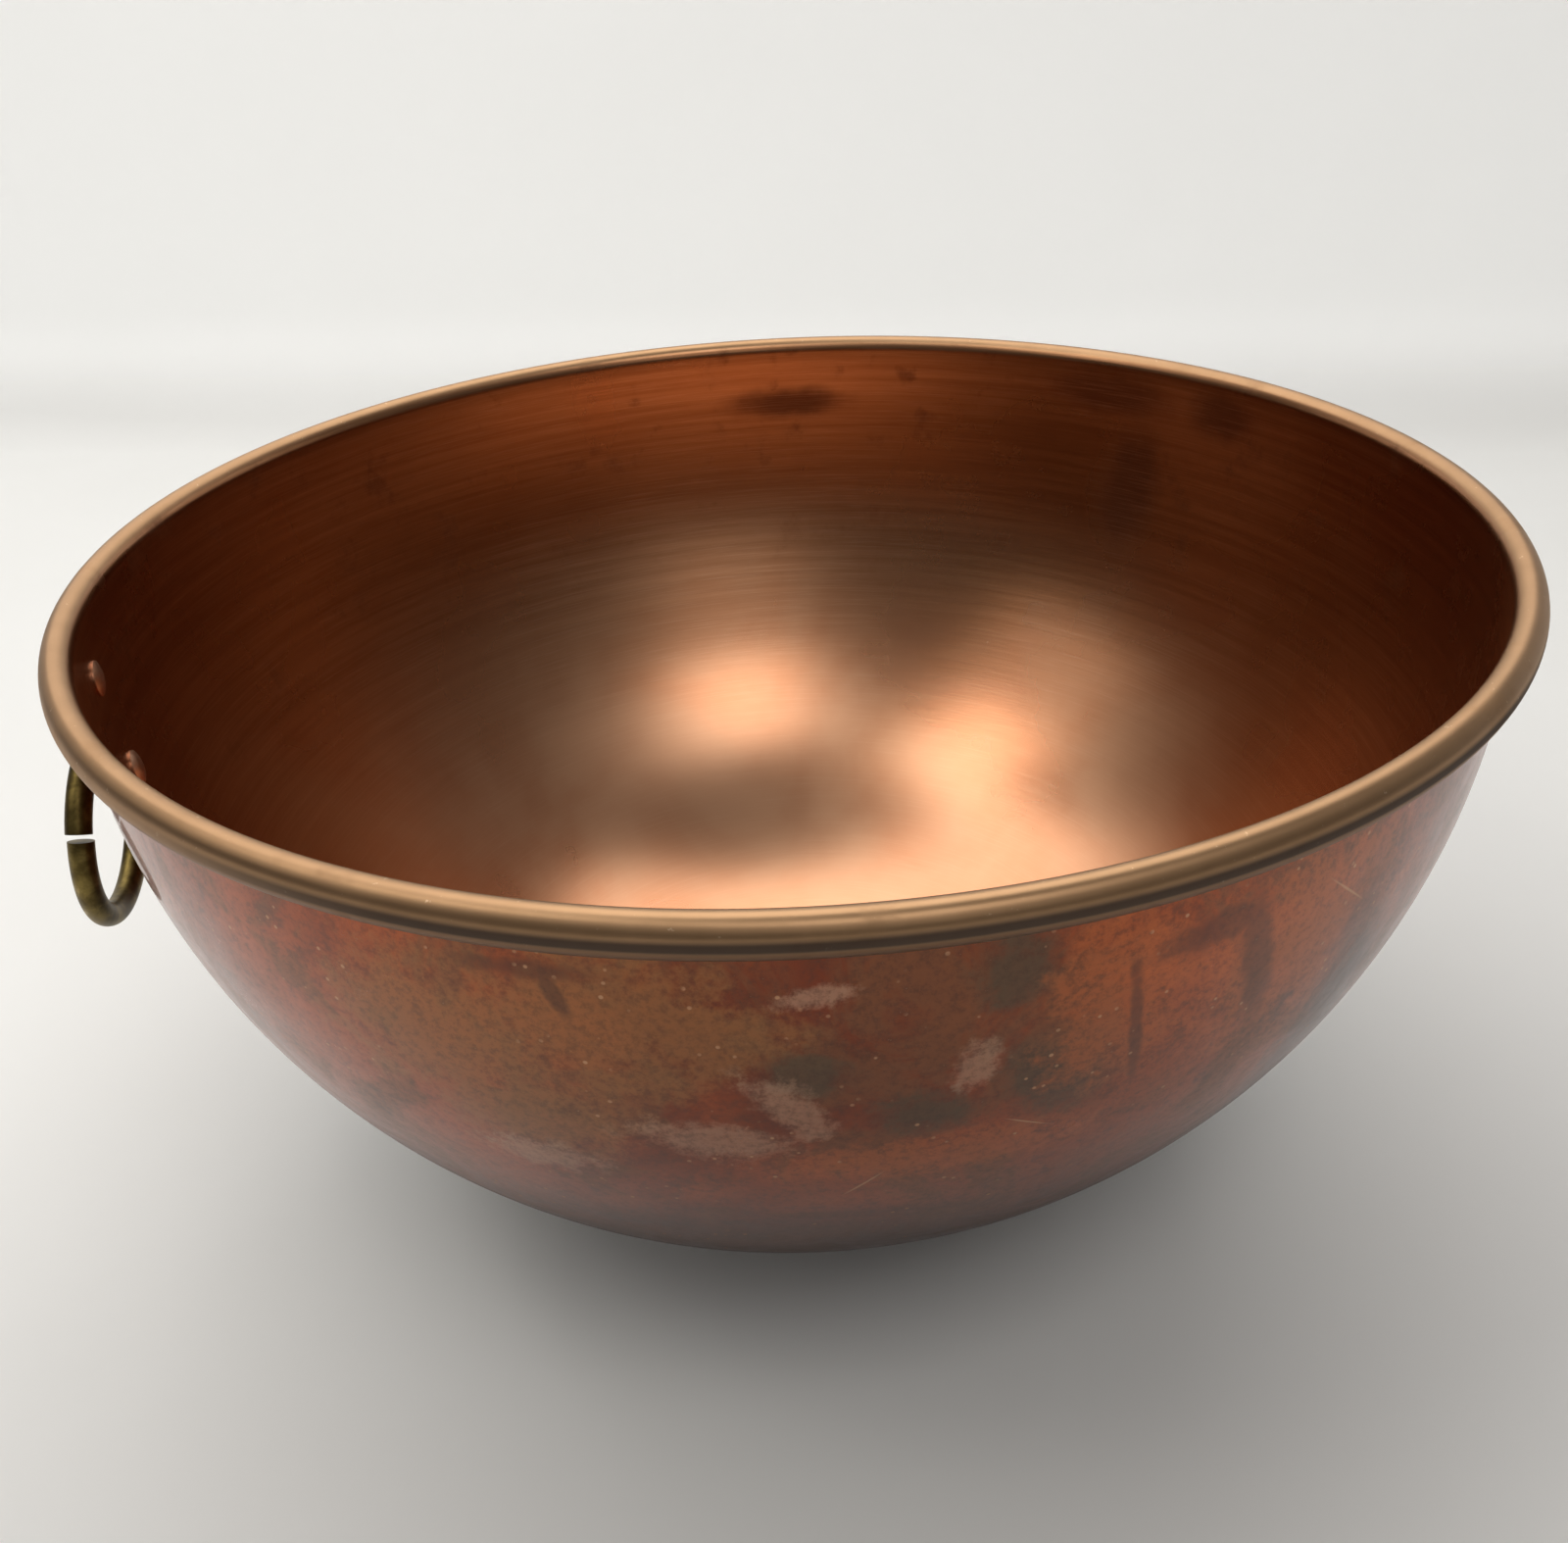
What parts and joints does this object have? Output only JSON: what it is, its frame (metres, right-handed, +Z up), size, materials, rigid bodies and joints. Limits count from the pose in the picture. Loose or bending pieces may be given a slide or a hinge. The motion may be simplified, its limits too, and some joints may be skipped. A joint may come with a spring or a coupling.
{
  "type": "mixing bowl",
  "caption": "Hemispherical copper bowl with a rolled rim, a small flat to stand on and a split brass hanging ring on a riveted strap.",
  "frame": {"origin": "centre of the flat on the bowl's underside", "axes": "+Z up along the bowl's axis; the hanging ring is on the -X side"},
  "size_m": [0.265, 0.26, 0.1328],
  "materials": {
    "bowl_copper": "brushed copper inside, tarnished copper outside",
    "rim_steel": "drawn steel wire, hidden",
    "strap_copper": "tarnished copper",
    "rivet_copper": "dull copper",
    "ring_brass": "antique brass"
  },
  "bodies": {
    "bowl": {"bowl_shell": "bowl_copper", "rim_wire": "rim_steel", "ring_bracket": "strap_copper", "rivet_upper": "rivet_copper", "rivet_lower": "rivet_copper"},
    "ring": {"hanging_ring": "ring_brass"}
  },
  "joints": [
    {"name": "ring_swing", "type": "hinge", "parent": "bowl", "child": "ring", "pos_m": [-0.12801, 0, 0.1084], "axis": [0.1392, 0.9903, 0], "range_deg": [-8, 150]}
  ]
}
